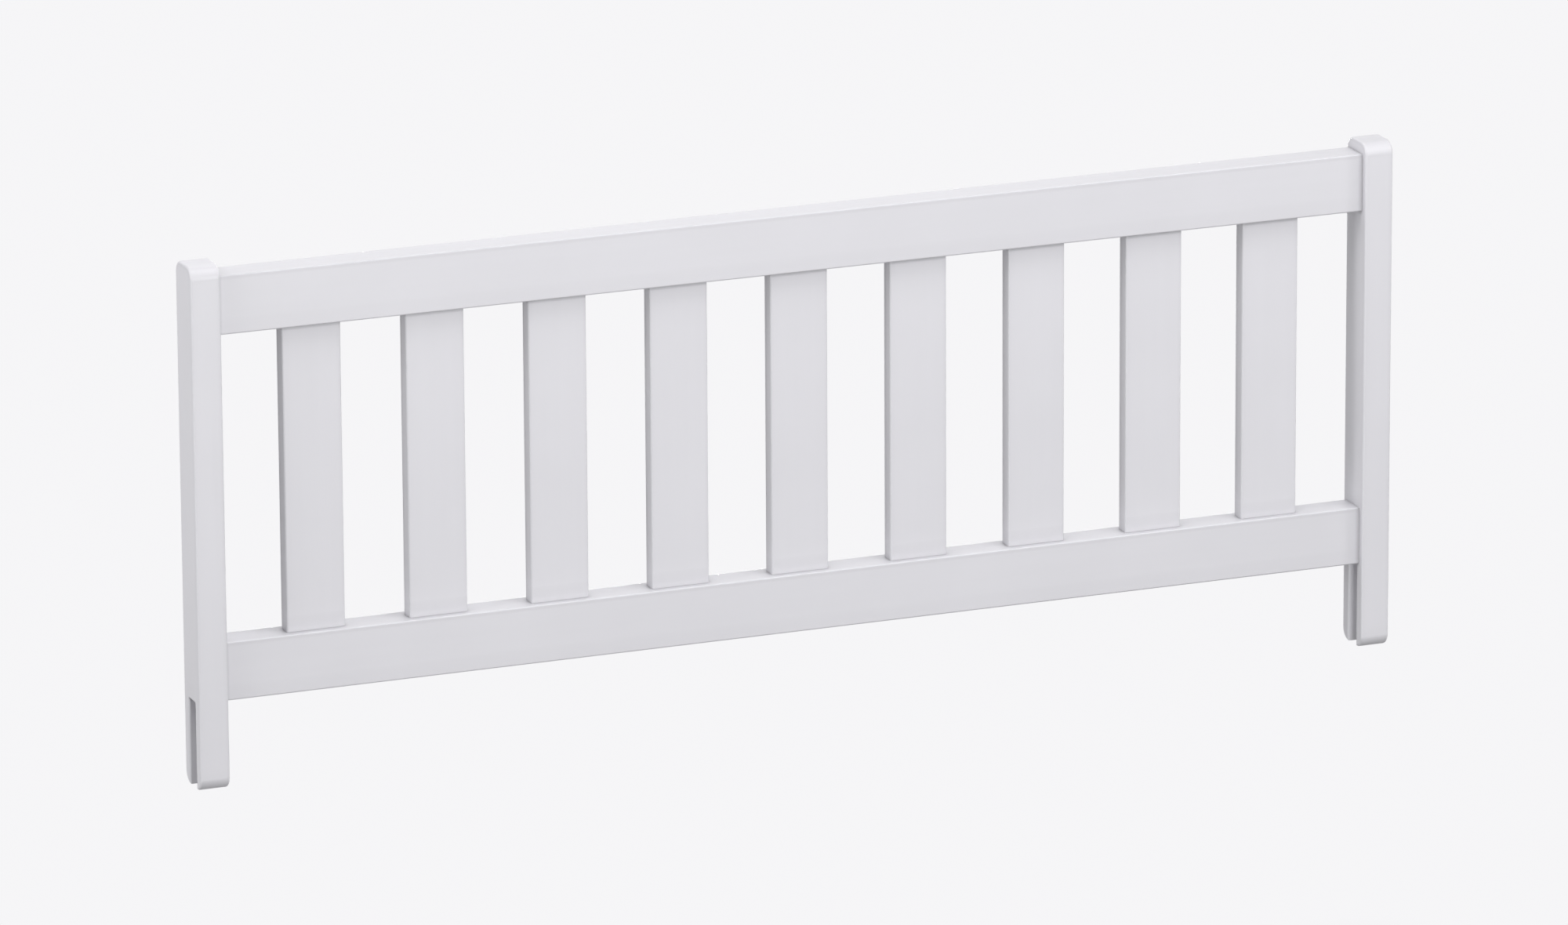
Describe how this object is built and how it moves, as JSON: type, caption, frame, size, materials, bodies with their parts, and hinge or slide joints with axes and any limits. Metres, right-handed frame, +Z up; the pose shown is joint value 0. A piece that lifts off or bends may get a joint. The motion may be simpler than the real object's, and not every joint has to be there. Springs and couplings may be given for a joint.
{
  "type": "bed guard rail",
  "caption": "Wooden bed guard rail: two forked posts that drop over a side board, joined by a top and a bottom rail with upright flat slats.",
  "frame": {"origin": "on the bottom rail's underside at mid-length, in the middle of the posts' depth, which is where the guard sits on the bed's side board", "axes": "+X along the guard, -Y the front that faces the room, +Z up"},
  "size_m": [1.2, 0.0426, 0.4975],
  "materials": {
    "white_lacquered_wood": "satin white lacquer over sanded wood",
    "bare_wood": "bare, glued"
  },
  "bodies": {
    "root": {"left_post": "white_lacquered_wood", "right_post": "white_lacquered_wood", "top_rail": "white_lacquered_wood", "bottom_rail": "white_lacquered_wood", "slat_1": "white_lacquered_wood", "slat_2": "white_lacquered_wood", "slat_3": "white_lacquered_wood", "slat_4": "white_lacquered_wood", "slat_5": "white_lacquered_wood", "slat_6": "white_lacquered_wood", "slat_7": "white_lacquered_wood", "slat_8": "white_lacquered_wood", "slat_9": "white_lacquered_wood", "top_rail_left_dowel_lower": "bare_wood", "top_rail_left_dowel_upper": "bare_wood", "top_rail_right_dowel_lower": "bare_wood", "top_rail_right_dowel_upper": "bare_wood", "bottom_rail_left_dowel_lower": "bare_wood", "bottom_rail_left_dowel_upper": "bare_wood", "bottom_rail_right_dowel_lower": "bare_wood", "bottom_rail_right_dowel_upper": "bare_wood"}
  },
  "joints": []
}
